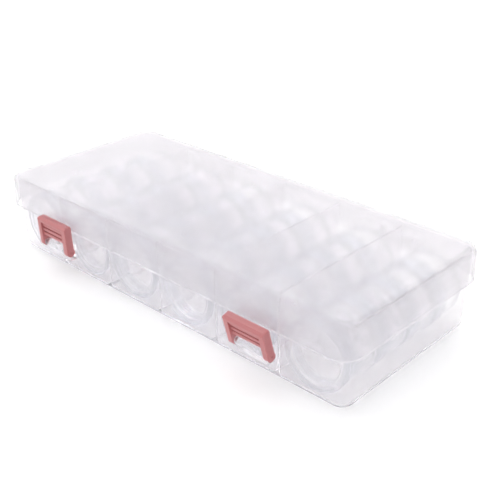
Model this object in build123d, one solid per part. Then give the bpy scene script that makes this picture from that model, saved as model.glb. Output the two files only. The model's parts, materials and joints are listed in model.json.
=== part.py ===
from build123d import *
import math
import os

# Bead storage box: a long low case of frosted plastic with a deep hinged lid,
# two snap latches on the front long side, and six columns of four round
# screw-lid jars lying on their sides.
#
# Millimetres. Origin: middle of the flat underside. +X along the length,
# -Y the front with the latches, +Z up.

# ---------------------------------------------------------------- driving sizes
LID_L = 282.4            # lid length over the skirt
LID_W = 124.0            # lid width over the skirt
LID_TOP = 52.5           # top of the lid
SKIRT_Z = 31.9           # lower edge of the lid's skirt
LID_R = 12.0             # corner radius of the lid, in plan
LID_WALL = 1.5
LID_DRAFT = 0.45         # each side moves in by this much over the skirt's height
LID_EDGE_R = 5.0         # rounding round the lid's top

BASE_L0, BASE_W0 = 274.8, 114.6      # tray at the floor
BASE_L1, BASE_W1 = 276.4, 116.2      # tray at the rim
BASE_R = 7.6             # corner radius of the tray, in plan
RIM_Z = 49.2             # rim of the tray and top of the dividers
WALL = 1.5
FLOOR = 1.5
BASE_EDGE_R = 5.0        # rounding under the tray

COLUMNS = 6
ROWS = 4
PITCH = 45.8             # divider spacing
DIV_T0, DIV_T1 = 1.5, 1.1            # divider thickness at floor and top
POCKET_R = 3.2           # corners of a pocket beside a divider
CORNER_R = 5.0           # pocket corners inside the tray's own corners
POCKET_FLOOR_R = 2.9     # rounding between floor and walls

# latches
LATCH_W = 28.4
LATCH_X = (-86.0, 81.7)  # middle of the left and right latch
PIVOT_Y, PIVOT_Z = -64.15, 18.3
LATCH_H = 17.6           # pivot to top
LATCH_BACK = -2.3        # back face, outward from the pivot
LATCH_FRONT = 2.8        # front face
ARM_W = 3.4
FOOT_R = 2.78
PANEL_BOTTOM, BAR_BOTTOM = 5.2, 14.3
RIDGE_IN, GROOVE_IN = 1.3, 2.3       # ridges and grooves of the grip, behind the front face
BLIND = 1.1              # outer wall left over the end of each bore
LATCH_TOP_R = 1.2        # the bar's upper corners, seen from the front
PIN_R, BORE_R = 1.25, 1.32
CLOSED_LEAN = 3.0        # degrees outward when closed
AJAR_LEAN = 15.6         # right latch as it stands

# rear hinge
HINGE_X = (-84.0, 84.0)
HINGE_Y, HINGE_Z = 64.85, 33.4
HINGE_LUG_W = 20.0
EAR_W = 3.0
EAR_R = 2.6
LUG_R = 2.3

# jars
JAR_LEN = 26.3
JAR_R = 19.2             # body
JAR_WALL = 1.3
JAR_LID_R = 20.1
JAR_LID_H = 9.4
NECK_R = 17.8
NECK_END = 1.75          # neck rim behind the lid's outer face
JAR_GAP = 0.45
FRONT_Y = -53.0          # front faces of the first row
# how far the jars of each column lie off the column's middle, row by row
SHIFT = (
    (1.0, 0.2, 1.2, 0.6),
    (1.7, 1.2, 0.4, 1.0),
    (-1.7, -1.4, -0.6, -1.2),
    (-1.7, -1.5, -1.6, -0.8),
    (-0.5, 0.3, -0.2, 0.6),
    (0.2, -0.2, -0.6, -0.3),
)

os.makedirs("parts", exist_ok=True)


def save(shape, name):
    s = shape.solids()
    out = s[0] if len(s) == 1 else Compound(children=list(s))
    export_step(out, "parts/%s.step" % name)


def pocket_outline(cx, length, width, r_left, r_right, z):
    s = Rectangle(length, width)
    left = [v for v in s.vertices() if v.X < 0]
    s = fillet(left, r_left)
    right = [v for v in s.vertices() if v.X > length / 2 - 0.01 and abs(v.Y) > width / 2 - 0.01]
    s = fillet(right, r_right)
    return Plane(origin=(cx, 0, z)) * s


def tapered(l0, w0, r0, z0, z1, run):
    """A rounded rectangle at z0, carried up to z1 while each side moves out by run."""
    taper = -math.degrees(math.atan2(run, z1 - z0))
    return extrude(Plane(origin=(0, 0, z0)) * RectangleRounded(l0, w0, r0), amount=z1 - z0, taper=taper)


def edges_at_z(shape, z, tol=0.02):
    out = []
    for e in shape.edges():
        bb = e.bounding_box()
        if abs(bb.min.Z - z) < tol and abs(bb.max.Z - z) < tol:
            out.append(e)
    return out


def box_between(x0, x1, y0, y1, z0, z1):
    return Pos((x0 + x1) / 2, (y0 + y1) / 2, (z0 + z1) / 2) * Box(x1 - x0, y1 - y0, z1 - z0)


def rod_x(x0, x1, y, z, r):
    return Pos((x0 + x1) / 2, y, z) * (Rot(0, 90, 0) * Cylinder(r, x1 - x0))


def prism_x(points, x0, x1):
    """A YZ outline, swept along X from x0 to x1."""
    wire = Polyline(*[(x0, y, z) for y, z in points], close=True)
    face = make_face(wire)
    return extrude(face, amount=x1 - x0, dir=(1, 0, 0))


# ---------------------------------------------------------------- base tray
def tray():
    body = tapered(BASE_L0, BASE_W0, BASE_R, 0, RIM_Z, (BASE_L1 - BASE_L0) / 2)
    body = fillet(edges_at_z(body, 0), BASE_EDGE_R)
    body = chamfer(edges_at_z(body, RIM_Z), 0.3)
    k = (BASE_W1 - BASE_W0) / 2 / RIM_Z          # outward run of the wall, per mm of height
    over = 2.0
    zt = RIM_Z + over
    half_x0 = BASE_L0 / 2 + k * FLOOR - WALL
    half_x1 = BASE_L0 / 2 + k * zt - WALL
    wy0 = 2 * (BASE_W0 / 2 + k * FLOOR - WALL)
    wy1 = 2 * (BASE_W0 / 2 + k * zt - WALL)
    for c in range(COLUMNS):
        left_wall, right_wall = c == 0, c == COLUMNS - 1
        xl = (c - COLUMNS / 2) * PITCH
        xr = xl + PITCH
        a0 = -half_x0 if left_wall else xl + DIV_T0 / 2
        a1 = -half_x1 if left_wall else xl + DIV_T1 / 2
        b0 = half_x0 if right_wall else xr - DIV_T0 / 2
        b1 = half_x1 if right_wall else xr - DIV_T1 / 2
        rl = CORNER_R if left_wall else POCKET_R
        rr = CORNER_R if right_wall else POCKET_R
        low = pocket_outline((a0 + b0) / 2, b0 - a0, wy0, rl, rr, FLOOR)
        high = pocket_outline((a1 + b1) / 2, b1 - a1, wy1, rl, rr, zt)
        p = loft(Sketch() + [low, high], ruled=True)
        p = fillet(edges_at_z(p, FLOOR), POCKET_FLOOR_R)
        body -= p

    wall_y = BASE_W0 / 2 - 0.6                   # inside the wall's thickness
    # front lugs, one for each latch, with a pin at each end
    for x in LATCH_X:
        x0 = x - LATCH_W / 2 + ARM_W + 0.4
        x1 = x + LATCH_W / 2 - ARM_W - 0.4
        arm = prism_x([(-wall_y, 10.7), (PIVOT_Y + 1.6, 10.7), (PIVOT_Y + 0.7, 11.6), (PIVOT_Y + 0.7, 16.2),
                       (PIVOT_Y, 16.1), (PIVOT_Y, PIVOT_Z + LUG_R), (-wall_y, PIVOT_Z + LUG_R)], x0, x1)
        barrel = rod_x(x0, x1, PIVOT_Y, PIVOT_Z, LUG_R)
        pins = rod_x(x - LATCH_W / 2 + BLIND + 0.3, x + LATCH_W / 2 - BLIND - 0.3, PIVOT_Y, PIVOT_Z, PIN_R)
        lug = arm + barrel
        body += lug
        body += pins
    # rear lugs for the lid's hinge
    for x in HINGE_X:
        x0, x1 = x - HINGE_LUG_W / 2, x + HINGE_LUG_W / 2
        arm = prism_x([(wall_y, 21.4), (wall_y + 2.2, 21.4), (HINGE_Y + LUG_R, 28.0), (HINGE_Y + LUG_R, HINGE_Z),
                       (HINGE_Y - LUG_R, HINGE_Z), (HINGE_Y - LUG_R, 30.8), (wall_y, 30.8)], x0, x1)
        barrel = rod_x(x0, x1, HINGE_Y, HINGE_Z, LUG_R)
        pins = rod_x(x0 - EAR_W + 0.1, x1 + EAR_W - 0.1, HINGE_Y, HINGE_Z, PIN_R)
        body += arm + barrel
        body += pins
    return body


# ---------------------------------------------------------------- lid
def lid():
    body = tapered(LID_L, LID_W, LID_R, SKIRT_Z, LID_TOP, -LID_DRAFT)
    body = fillet(edges_at_z(body, LID_TOP), LID_EDGE_R)
    t = LID_WALL
    zi = LID_TOP - t
    low = SKIRT_Z - 1.0
    k = LID_DRAFT / (LID_TOP - SKIRT_Z)
    l0, w0 = LID_L - 2 * t + 2 * k, LID_W - 2 * t + 2 * k
    hollow = tapered(l0, w0, LID_R - t, low, zi, -k * (zi - low))
    hollow = fillet(edges_at_z(hollow, zi), LID_EDGE_R - t + 0.1)
    body -= hollow
    # catch beads for the latches
    for x in LATCH_X:
        bead = prism_x([(-LID_W / 2 + 0.8, 32.2), (-LID_W / 2 - 0.25, 32.2), (-LID_W / 2 - 0.5, 32.5),
                        (-LID_W / 2 - 0.5, 33.1), (-LID_W / 2 + 0.2, 33.8), (-LID_W / 2 + 0.8, 33.8)],
                       x - 9.5, x + 9.5)
        body += bead
    # hinge ears, a pair at each hinge
    yo = LID_W / 2 - 0.7
    for x in HINGE_X:
        for s in (-1, 1):
            xa = x + s * (HINGE_LUG_W / 2 + 0.35)
            xb = xa + s * (EAR_W - 0.35)
            x0, x1 = min(xa, xb), max(xa, xb)
            web = prism_x([(yo, 32.1), (HINGE_Y, HINGE_Z - EAR_R), (HINGE_Y + EAR_R, HINGE_Z), (HINGE_Y + 1.7, HINGE_Z + 2.1),
                           (yo, 40.9)], x0, x1)
            ear = web + rod_x(x0, x1, HINGE_Y, HINGE_Z, EAR_R)
            ear -= rod_x(x0 - 1, x1 + 1, HINGE_Y, HINGE_Z, BORE_R)
            body += ear
    return body


# ---------------------------------------------------------------- latches
def latch(x, lean):
    """Drawn upright on its pivot: y = -n (n outward), z = u (u up), then leaned and placed."""
    w = LATCH_W / 2
    nf, nb = -LATCH_FRONT, -LATCH_BACK
    side = [(nb, 0), (nb, LATCH_H - 0.3), (nb - 0.3, LATCH_H), (nf + 1.5, LATCH_H), (nf + 0.25, LATCH_H - 1.0), (nf, LATCH_H - 1.8),
            (nf, 0.0)]
    arms = None
    for s in (-1, 1):
        xa, xb = s * w, s * (w - ARM_W)
        x0, x1 = min(xa, xb), max(xa, xb)
        a = prism_x(side, x0, x1) + rod_x(x0, x1, 0, 0, FOOT_R)
        arms = a if arms is None else arms + a
    bar = prism_x([(nb, BAR_BOTTOM + 1.2), (nb - 0.5, BAR_BOTTOM), (nf + 0.4, BAR_BOTTOM), (nf, BAR_BOTTOM + 0.4), (nf, LATCH_H - 1.8),
                   (nf + 0.25, LATCH_H - 1.0), (nf + 1.5, LATCH_H), (nb - 0.3, LATCH_H), (nb, LATCH_H - 0.3)], -w, w)
    inner = w - ARM_W + 0.3
    rf, gf, back = nf + RIDGE_IN, nf + GROOVE_IN, 1.2
    h = (BAR_BOTTOM - PANEL_BOTTOM) / 3
    pts = [(back, PANEL_BOTTOM)]
    for i in range(3):                            # three grip ridges, a groove over each
        z0 = PANEL_BOTTOM + i * h
        pts += [(rf + 0.3, z0), (rf, z0 + 0.3), (rf, z0 + h - 1.15), (rf + 0.3, z0 + h - 0.85), (gf, z0 + h - 0.8), (gf, z0 + h)]
    pts += [(gf, BAR_BOTTOM + 0.4), (back, BAR_BOTTOM + 0.4)]
    pts = [q for i, q in enumerate(pts) if q != (gf, BAR_BOTTOM)]
    panel = prism_x(pts, -inner, inner)
    body = arms + bar + panel
    # blind bores for the pins, with a small dimple outside each
    body -= rod_x(-w + BLIND, w - BLIND, 0, 0, BORE_R)
    for s in (-1, 1):
        xd = s * w
        body -= rod_x(xd - 0.4, xd + 0.4, 0, 0, 0.6)
    # groove over the lid's catch bead
    body -= box_between(-10.6, 10.6, nb - 0.75, nb + 1, 13.6, 16.2)
    outer = [e for e in body.edges() if abs(e.bounding_box().min.Z - e.bounding_box().max.Z) > 9.0
             and abs(abs(e.center().X) - w) < 0.01 and abs(e.center().Y - nf) < 0.3]
    if outer:
        body = fillet(outer, 0.55)
    for s in (-1, 1):
        xc, zc = s * (w - LATCH_TOP_R), LATCH_H - LATCH_TOP_R
        cut = box_between(min(xc, xc + s * 3), max(xc, xc + s * 3), -8, 8, zc, LATCH_H + 1)
        cut -= Pos(xc, 0, zc) * (Rot(90, 0, 0) * Cylinder(LATCH_TOP_R, 20))
        body -= cut
    return Pos(x, PIVOT_Y, PIVOT_Z) * (Rot(lean, 0, 0) * body)


# ---------------------------------------------------------------- jars
def turned(points):
    """A closed outline of (radius, depth) turned about the jar's axis; depth runs towards +Y from the lid's face."""
    face = make_face(Polyline(*[(r, d, 0) for r, d in points], close=True))
    return revolve(face, Axis((0, 0, 0), (0, 1, 0)), 360)


def jar_body():
    n = NECK_END
    e = JAR_LEN
    r, t = JAR_R, JAR_WALL
    s = JAR_LID_H + 0.35                          # shoulder
    pts = [(NECK_R - 1.2, n + 0.25), (NECK_R - 0.95, n), (NECK_R - 0.3, n), (NECK_R, n + 0.3), (NECK_R, n + 1.3),
           (NECK_R + 0.5, n + 1.7), (NECK_R + 0.5, n + 2.0), (NECK_R, n + 2.4),
           (NECK_R, n + 4.1), (NECK_R + 0.5, n + 4.5), (NECK_R + 0.5, n + 4.8), (NECK_R, n + 5.2),
           (NECK_R, s), (r - 0.35, s), (r, s + 0.35), (r, e - 0.9), (r - 0.9, e), (r - 2.6, e), (r - 3.1, e - 0.5),
           (0, e - 0.5), (0, e - 1.9), (r - t - 1.6, e - 1.9), (r - t, e - 3.5), (r - t, s + 1.8), (NECK_R - 1.2, s + 0.5)]
    return turned(pts)


def jar_lid():
    R, h = JAR_LID_R, JAR_LID_H
    ri = NECK_R + 0.85
    pts = [(0, 0.6), (R - 3.1, 0.6), (R - 2.7, 0.0), (R - 0.9, 0.0), (R - 0.25, 0.25), (R, 0.9), (R, h - 0.3), (R - 0.3, h), (ri + 0.2, h), (ri, h - 0.2),
           (ri, NECK_END + 4.0), (ri - 0.5, NECK_END + 3.65), (ri - 0.5, NECK_END + 2.85), (ri, NECK_END + 2.5), (ri, NECK_END + 0.2), (ri - 0.6, NECK_END - 0.3),
           (0, NECK_END - 0.3)]
    return turned(pts)


def jar_place(c, r):
    half = BASE_L0 / 2 - WALL
    if c == 0:
        cx = (-half - (COLUMNS / 2 - 1) * PITCH - DIV_T0 / 2) / 2
    elif c == COLUMNS - 1:
        cx = (half + (COLUMNS / 2 - 1) * PITCH + DIV_T0 / 2) / 2
    else:
        cx = (c - (COLUMNS - 1) / 2) * PITCH
    return cx + SHIFT[c][r], FRONT_Y + r * (JAR_LEN + JAR_GAP), FLOOR + 0.3 + JAR_LID_R


save(tray(), "base_tray")
save(lid(), "lid")
save(latch(LATCH_X[0], CLOSED_LEAN), "latch_left")
save(latch(LATCH_X[1], AJAR_LEAN), "latch_right")
a_jar, a_lid = jar_body(), jar_lid()
for c in range(COLUMNS):
    for r in range(ROWS):
        x, y, z = jar_place(c, r)
        save(Pos(x, y, z) * a_jar, "jar_%d_%d" % (c + 1, r + 1))
        save(Pos(x, y, z) * a_lid, "jar_lid_%d_%d" % (c + 1, r + 1))
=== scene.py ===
import bpy
import bmesh
import json
import math
from mathutils import Vector, Matrix, Quaternion


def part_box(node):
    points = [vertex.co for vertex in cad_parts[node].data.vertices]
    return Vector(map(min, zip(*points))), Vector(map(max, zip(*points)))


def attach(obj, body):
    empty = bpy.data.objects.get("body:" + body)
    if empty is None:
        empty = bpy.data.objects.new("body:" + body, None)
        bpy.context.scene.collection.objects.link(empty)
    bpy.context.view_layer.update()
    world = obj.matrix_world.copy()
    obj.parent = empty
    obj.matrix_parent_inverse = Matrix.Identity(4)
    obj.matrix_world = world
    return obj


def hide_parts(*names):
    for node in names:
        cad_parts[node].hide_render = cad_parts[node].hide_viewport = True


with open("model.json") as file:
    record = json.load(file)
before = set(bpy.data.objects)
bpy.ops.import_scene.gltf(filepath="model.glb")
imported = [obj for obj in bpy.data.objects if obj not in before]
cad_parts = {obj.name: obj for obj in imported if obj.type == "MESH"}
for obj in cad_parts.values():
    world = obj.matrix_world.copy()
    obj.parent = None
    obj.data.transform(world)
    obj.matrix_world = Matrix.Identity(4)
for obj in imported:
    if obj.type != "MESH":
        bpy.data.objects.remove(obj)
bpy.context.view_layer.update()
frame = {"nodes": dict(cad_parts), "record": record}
nodes = frame["nodes"]

# ---------------------------------------------------------------- camera
cam_data = bpy.data.cameras.new("camera")
cam_data.lens = 62.47
cam_data.sensor_width = 36.0
cam_data.sensor_fit = "HORIZONTAL"
cam_data.clip_start, cam_data.clip_end = 0.01, 20.0
cam = bpy.data.objects.new("camera", cam_data)
bpy.context.scene.collection.objects.link(cam)
cam.location = (0.337433, -0.338156, 0.266916)
cam.rotation_mode = "QUATERNION"
cam.rotation_quaternion = Vector((-0.60811, 0.649197, -0.456887)).to_track_quat("-Z", "Y")
bpy.context.scene.camera = cam


# ---------------------------------------------------------------- node helpers
def new_material(name):
    m = bpy.data.materials.new(name)
    m.use_nodes = True
    nt = m.node_tree
    nt.nodes.clear()
    out = nt.nodes.new("ShaderNodeOutputMaterial")
    return m, nt, out


def principled(nt, **values):
    p = nt.nodes.new("ShaderNodeBsdfPrincipled")
    for k, v in values.items():
        p.inputs[k.replace("_", " ")].default_value = v
    return p


def noise(nt, scale, detail=3.0, rough=0.5, coords=None):
    n = nt.nodes.new("ShaderNodeTexNoise")
    n.inputs["Scale"].default_value = scale
    n.inputs["Detail"].default_value = detail
    n.inputs["Roughness"].default_value = rough
    if coords is not None:
        nt.links.new(coords, n.inputs["Vector"])
    return n


def map_range(nt, value, a, b, lo, hi):
    n = nt.nodes.new("ShaderNodeMapRange")
    n.inputs["From Min"].default_value = a
    n.inputs["From Max"].default_value = b
    n.inputs["To Min"].default_value = lo
    n.inputs["To Max"].default_value = hi
    nt.links.new(value, n.inputs["Value"])
    return n.outputs["Result"]


def bump(nt, height, strength, distance, normal=None):
    b = nt.nodes.new("ShaderNodeBump")
    b.inputs["Strength"].default_value = strength
    b.inputs["Distance"].default_value = distance
    nt.links.new(height, b.inputs["Height"])
    if normal is not None:
        nt.links.new(normal, b.inputs["Normal"])
    return b.outputs["Normal"]


def set_material(obj, mat):
    obj.data.materials.clear()
    obj.data.materials.append(mat)


# ---------------------------------------------------------------- materials
def frosted_case(name, veil, milky, clear, low, high):
    """Frosted wall: see-through that blurs with distance, and a milky veil that takes up light."""
    m, nt, out = new_material(name)
    tc = nt.nodes.new("ShaderNodeTexCoord").outputs["Object"]
    grain = noise(nt, 1500.0, 2.0, 0.5, tc)
    cloud = noise(nt, 38.0, 3.0, 0.5, tc)
    flow = noise(nt, 9.0, 2.0, 0.5, tc)
    p = principled(nt, Roughness=0.2, IOR=1.15, Transmission_Weight=1.0, Coat_Weight=0.3, Coat_Roughness=0.14, Coat_IOR=1.5)
    p.inputs["Base Color"].default_value = clear
    nt.links.new(map_range(nt, cloud.outputs["Fac"], 0.3, 0.7, low, high), p.inputs["Roughness"])
    n1 = bump(nt, grain.outputs["Fac"], 0.04, 0.00006)
    n2 = bump(nt, flow.outputs["Fac"], 0.12, 0.0012, n1)
    nt.links.new(n2, p.inputs["Normal"])
    nt.links.new(n2, p.inputs["Coat Normal"])
    back = nt.nodes.new("ShaderNodeBsdfDiffuse")
    back.inputs["Color"].default_value = milky
    fore = nt.nodes.new("ShaderNodeBsdfTranslucent")
    fore.inputs["Color"].default_value = milky
    milk = nt.nodes.new("ShaderNodeMixShader")
    milk.inputs["Fac"].default_value = 0.5
    nt.links.new(back.outputs["BSDF"], milk.inputs[1])
    nt.links.new(fore.outputs["BSDF"], milk.inputs[2])
    mix = nt.nodes.new("ShaderNodeMixShader")
    nt.links.new(map_range(nt, cloud.outputs["Fac"], 0.3, 0.7, veil - 0.02, veil + 0.02), mix.inputs["Fac"])
    nt.links.new(p.outputs["BSDF"], mix.inputs[1])
    nt.links.new(milk.outputs["Shader"], mix.inputs[2])
    nt.links.new(mix.outputs["Shader"], out.inputs["Surface"])
    return m


def clear_plastic(name, tint, ior, painted_rim_shade=None):
    """Clear moulded plastic: smooth, with the slight waviness of a moulding; if a rim colour is given, painted
    shade: the colour turns darker towards the outer rim.
    """
    m, nt, out = new_material(name)
    tc = nt.nodes.new("ShaderNodeTexCoord").outputs["Object"]
    wave = noise(nt, 120.0, 2.0, 0.5, tc)
    p = principled(nt, Roughness=0.0, IOR=ior, Transmission_Weight=1.0)
    p.inputs["Base Color"].default_value = (*tint, 1.0)
    if painted_rim_shade:
        # painted shade: the base colour blends from the tint to the darker rim colour by distance from the axis,
        # darkest at the outer rim
        xyz = nt.nodes.new("ShaderNodeSeparateXYZ")
        nt.links.new(tc, xyz.inputs["Vector"])
        flat = nt.nodes.new("ShaderNodeCombineXYZ")
        nt.links.new(xyz.outputs["X"], flat.inputs["X"])
        nt.links.new(xyz.outputs["Z"], flat.inputs["Z"])
        radius = nt.nodes.new("ShaderNodeVectorMath")
        radius.operation = "LENGTH"
        nt.links.new(flat.outputs["Vector"], radius.inputs[0])
        mix = nt.nodes.new("ShaderNodeMix")
        mix.data_type = "RGBA"
        a, b = [i for i in mix.inputs if i.type == "RGBA"]
        a.default_value, b.default_value = (*tint, 1.0), (*painted_rim_shade, 1.0)
        nt.links.new(map_range(nt, radius.outputs["Value"], 0.0177, 0.0186, 0.0, 1.0), mix.inputs["Factor"])
        nt.links.new([o for o in mix.outputs if o.type == "RGBA"][0], p.inputs["Base Color"])
    nt.links.new(bump(nt, wave.outputs["Fac"], 0.08, 0.0004), p.inputs["Normal"])
    nt.links.new(p.outputs["BSDF"], out.inputs["Surface"])
    return m


def latch_plastic(name):
    m, nt, out = new_material(name)
    tc = nt.nodes.new("ShaderNodeTexCoord").outputs["Object"]
    grain = noise(nt, 1900.0, 2.0, 0.5, tc)
    cloud = noise(nt, 120.0, 3.0, 0.5, tc)
    p = principled(nt, Roughness=0.34, IOR=1.47, Subsurface_Weight=0.22, Subsurface_Scale=0.0016)
    p.inputs["Base Color"].default_value = (0.48, 0.172, 0.176, 1.0)
    p.inputs["Subsurface Radius"].default_value = (1.0, 0.35, 0.35)
    nt.links.new(map_range(nt, cloud.outputs["Fac"], 0.3, 0.7, 0.28, 0.42), p.inputs["Roughness"])
    nt.links.new(bump(nt, grain.outputs["Fac"], 0.12, 0.00006), p.inputs["Normal"])
    nt.links.new(p.outputs["BSDF"], out.inputs["Surface"])
    return m


case_tray = frosted_case("frosted_tray", 0.165, (0.94, 0.928, 0.937, 1.0), (0.967, 0.960, 0.966, 1.0), 0.13, 0.19)
case_lid = frosted_case("frosted_lid", 0.175, (0.80, 0.785, 0.805, 1.0), (0.934, 0.926, 0.937, 1.0), 0.21, 0.262)
jar_clear = clear_plastic("clear_jar", (0.993, 0.9935, 0.994), 1.45)
# the jar lid material carries painted shade: a darker bluish-grey painted on its outer rim
jar_lid_clear = clear_plastic("clear_jar_lid", (0.993, 0.9935, 0.994), 1.45, (0.82, 0.84, 0.87))
pink = latch_plastic("latch_pink")

# ---------------------------------------------------------------- jar meshes
def arc(cr, cd, rad, a0, a1, n):
    """Points (radius, depth) round a centre, from angle a0 to a1 in degrees; 0 is outward, 90 is deeper."""
    out = []
    for i in range(n + 1):
        t = math.radians(a0 + (a1 - a0) * i / n)
        out.append((cr + rad * math.cos(t), cd + rad * math.sin(t)))
    return out


def steps(r, d0, d1, n):
    return [(r, d0 + (d1 - d0) * i / n) for i in range(n + 1)]


def helix(theta, d, d0, pitch, turns, height, width):
    """Height of a single-start thread's ridge at an angle and a depth, run out at both ends."""
    best = 0.0
    for k in range(int(math.ceil(turns)) + 1):
        u = theta / (2 * math.pi) + k
        if 0 <= u <= turns:
            x = abs(d - (d0 + pitch * u)) / width
            if x < 1:
                fade = min(1.0, u / 0.10, (turns - u) / 0.10)
                best = max(best, height * fade * min(1.0, (1 - x) / 0.55))
    return best


def turned(name, profile, segments, thread=None):
    """A closed mesh from a closed outline of (radius, depth) in millimetres, turned about the Y axis.
    thread(theta, r, d) moves a point outward by what it returns."""
    bm = bmesh.new()
    rings = []
    for r, d in profile:
        if r < 1e-6:
            rings.append([bm.verts.new((0, d / 1000, 0))])
            continue
        ring = []
        for i in range(segments):
            th = 2 * math.pi * i / segments
            rr = r + (thread(th, r, d) if thread else 0.0)
            ring.append(bm.verts.new((rr * math.cos(th) / 1000, d / 1000, rr * math.sin(th) / 1000)))
        rings.append(ring)
    for j in range(len(rings)):
        p, q = rings[j], rings[(j + 1) % len(rings)]
        if len(p) == 1 and len(q) == 1:
            continue
        for i in range(segments):
            k = (i + 1) % segments
            if len(p) == 1:
                bm.faces.new((p[0], q[i], q[k]))
            elif len(q) == 1:
                bm.faces.new((p[i], q[0], p[k]))
            else:
                bm.faces.new((p[i], q[i], q[k], p[k]))
    bmesh.ops.recalc_face_normals(bm, faces=bm.faces)
    for f in bm.faces:
        f.smooth = True
    for e in bm.edges:
        e.smooth = len(e.link_faces) == 2 and e.calc_face_angle() < 0.62
    me = bpy.data.meshes.new(name)
    bm.to_mesh(me)
    bm.free()
    return me


NECK, WALL_IN, BODY_R, SHOULDER, END = 17.8, 16.6, 19.2, 9.75, 26.3


def neck_thread(th, r, d):
    return helix(th, d, 3.7, 2.6, 1.8, 0.42, 0.62) if abs(r - NECK) < 1e-6 and 2.2 < d < 9.4 else 0.0


body_profile = (
    arc(WALL_IN + 0.45, 1.75 + 0.45, 0.45, 180, 270, 4)
    + arc(NECK - 0.4, 1.75 + 0.4, 0.4, 270, 360, 4)[:-1]
    + steps(NECK, 2.15, 9.3, 36)
    + arc(NECK + 0.3, SHOULDER - 0.3, 0.3, 180, 90, 3)
    + arc(BODY_R - 0.5, SHOULDER + 0.5, 0.5, 270, 360, 4)
    + [(BODY_R - 0.04, 14.0), (BODY_R - 0.08, 20.0)]
    + arc(BODY_R - 1.2, END - 1.1, 1.1, 0, 90, 6)
    + arc(BODY_R - 2.5, END - 0.25, 0.25, 90, 180, 3)
    + arc(BODY_R - 3.1, END - 0.25, 0.25, 0, -90, 3)[1:-1]
    + [(BODY_R - 3.2, END - 0.5), (8.0, END - 0.55), (1.5, END - 0.62), (1.1, END - 0.45), (0.0, END - 0.4)]
    + [(0.0, END - 1.9), (8.0, END - 1.9), (14.6, END - 1.95)]
    + arc(BODY_R - 1.3 - 2.2, END - 1.95 - 2.2, 2.2, 90, 0, 6)
    + [(BODY_R - 1.3, 18.0), (BODY_R - 1.28, 12.6)]
    + arc(BODY_R - 1.3 - 1.0, 12.2, 1.0, 0, -50, 3)[1:]
    + arc(WALL_IN + 1.0, 10.1, 1.0, 130, 180, 3)
    + [(WALL_IN, 6.0)]
)

LID_R_MM, LID_D, LID_IN = 20.1, 9.4, 18.65


def lid_thread(th, r, d):
    return -helix(th, d, 2.75, 2.6, 1.9, 0.22, 0.6) if abs(r - LID_IN) < 1e-6 and 2.0 < d < 9.0 else 0.0


lid_profile = (
    [(0.0, 0.52), (0.9, 0.5), (1.2, 0.6), (8.0, 0.6), (LID_R_MM - 3.45, 0.6)]
    + arc(LID_R_MM - 3.35, 0.4, 0.2, 90, 0, 3)[1:]
    + arc(LID_R_MM - 2.8, 0.35, 0.35, 180, 270, 4)
    + arc(LID_R_MM - 0.95, 0.95, 0.95, 270, 360, 7)
    + [(LID_R_MM, 4.0), (LID_R_MM + 0.0, 7.6)]
    + arc(LID_R_MM - 0.35, LID_D - 0.35, 0.35, 0, 90, 4)
    + arc(LID_IN + 0.3, LID_D - 0.3, 0.3, 90, 180, 3)[:-1]
    + steps(LID_IN, 9.1, 1.95, 36)
    + arc(LID_IN - 0.4, 1.85, 0.4, 0, -90, 3)[1:]
    + [(17.2, 1.45)]
    + arc(16.4, 1.65, 0.2, -90, -180, 2)
    + [(16.15, 2.6)]
    + arc(15.95, 2.7, 0.2, 0, 90, 2)
    + arc(15.6, 2.7, 0.2, 90, 180, 2)
    + [(15.35, 1.7), (15.1, 1.45), (8.0, 1.45), (0.0, 1.45)]
)

jar_body_mesh = turned("jar_body", body_profile, 96, neck_thread)
jar_lid_mesh = turned("jar_lid", lid_profile, 96, lid_thread)


def place_jar(node, mesh, name, body, turn):
    """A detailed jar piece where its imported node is: same axis, same front face, turned about its own axis."""
    lo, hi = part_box(node)
    ob = bpy.data.objects.new(name, mesh)
    bpy.context.scene.collection.objects.link(ob)
    front = lo[1] if "lid" in node else hi[1] - END / 1000
    ob.matrix_world = Matrix.Translation(((lo[0] + hi[0]) / 2, front, (lo[2] + hi[2]) / 2)) @ Matrix.Rotation(turn, 4, "Y")
    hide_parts(node)
    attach(ob, body)
    return ob


body_of = {n: b for b, ns in frame["record"]["behaviour"]["bodies"].items() for n in ns}
pieces = []
for name, obj in sorted(nodes.items()):
    if name == "base_tray":
        set_material(obj, case_tray)
    elif name == "lid":
        set_material(obj, case_lid)
    elif name.startswith("latch"):
        set_material(obj, pink)
    elif name.startswith("jar"):
        c, r = int(name[-3]), int(name[-1])
        turn = (c + 2 * r) % 4 * math.pi / 2
        if name.startswith("jar_lid"):
            pieces.append(place_jar(name, jar_lid_mesh, "clear_lid_%d_%d" % (c, r), body_of[name], turn + c % 4 * math.pi / 2))
        else:
            pieces.append(place_jar(name, jar_body_mesh, "clear_jar_%d_%d" % (c, r), body_of[name], turn))
jar_body_mesh.materials.append(jar_clear)
jar_lid_mesh.materials.append(jar_lid_clear)

# ---------------------------------------------------------------- studio
floor_mesh = bpy.data.meshes.new("floor")
bm = bmesh.new()
bmesh.ops.create_grid(bm, x_segments=8, y_segments=8, size=4.0)
bm.to_mesh(floor_mesh)
bm.free()
floor = bpy.data.objects.new("floor", floor_mesh)
floor.location = (0, 0, -0.0002)
bpy.context.scene.collection.objects.link(floor)
m, nt, out = new_material("floor_white")
d = nt.nodes.new("ShaderNodeBsdfDiffuse")
d.inputs["Color"].default_value = (0.985, 0.985, 0.985, 1.0)
nt.links.new(d.outputs["BSDF"], out.inputs["Surface"])
set_material(floor, m)


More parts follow.
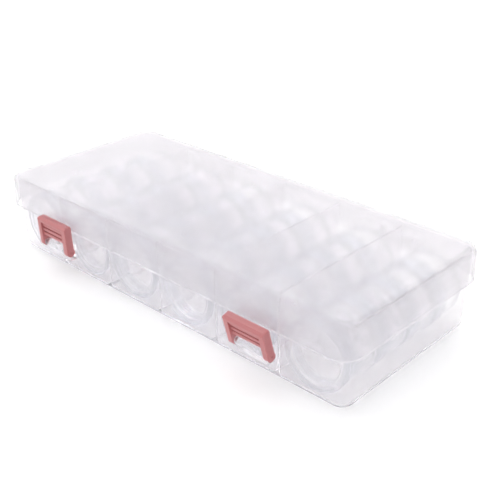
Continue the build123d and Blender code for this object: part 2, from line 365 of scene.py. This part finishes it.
def softbox(name, loc, target, size, energy, color=(1, 1, 1)):
    d = bpy.data.lights.new(name, "AREA")
    d.shape = "RECTANGLE"
    d.size, d.size_y = size
    d.energy = energy
    d.color = color
    o = bpy.data.objects.new(name, d)
    o.location = loc
    o.rotation_mode = "QUATERNION"
    o.rotation_quaternion = (Vector(target) - Vector(loc)).to_track_quat("-Z", "Y")
    bpy.context.scene.collection.objects.link(o)
    return o


softbox("key", (-1.2, 0.8, 2.4), (0, 0, 0.02), (4.0, 4.0), 38.0)

world = bpy.data.worlds.new("studio")
bpy.context.scene.world = world
world.use_nodes = True
wt = world.node_tree
wt.nodes.clear()
wo = wt.nodes.new("ShaderNodeOutputWorld")
bg = wt.nodes.new("ShaderNodeBackground")
wc = wt.nodes.new("ShaderNodeTexCoord")
ws = wt.nodes.new("ShaderNodeSeparateXYZ")
wt.links.new(wc.outputs["Generated"], ws.inputs["Vector"])
ramp = wt.nodes.new("ShaderNodeValToRGB")
ramp.color_ramp.elements[0].position = 0.0
ramp.color_ramp.elements[0].color = (0.95, 0.95, 0.96, 1)
ramp.color_ramp.elements[1].position = 0.75
ramp.color_ramp.elements[1].color = (1.0, 1.0, 1.0, 1)
wt.links.new(ws.outputs["Z"], ramp.inputs["Fac"])
side = wt.nodes.new("ShaderNodeMapRange")
side.inputs["From Min"].default_value = -1.0
side.inputs["From Max"].default_value = 1.0
side.inputs["To Min"].default_value = 1.06
side.inputs["To Max"].default_value = 0.74
wt.links.new(ws.outputs["X"], side.inputs["Value"])
shade = wt.nodes.new("ShaderNodeVectorMath")
shade.operation = "SCALE"
wt.links.new(ramp.outputs["Color"], shade.inputs[0])
wt.links.new(side.outputs["Result"], shade.inputs["Scale"])
wt.links.new(shade.outputs["Vector"], bg.inputs["Color"])
bg.inputs["Strength"].default_value = 1.15
wt.links.new(bg.outputs["Background"], wo.inputs["Surface"])

sc = bpy.context.scene
sc.view_settings.view_transform = "Standard"
sc.view_settings.look = "None"
sc.cycles.max_bounces = 128
sc.cycles.transmission_bounces = 128
sc.cycles.diffuse_bounces = 64
sc.cycles.glossy_bounces = 64
sc.cycles.transparent_max_bounces = 64
sc.cycles.blur_glossy = 0.0
sc.cycles.sample_clamp_indirect = 0.0
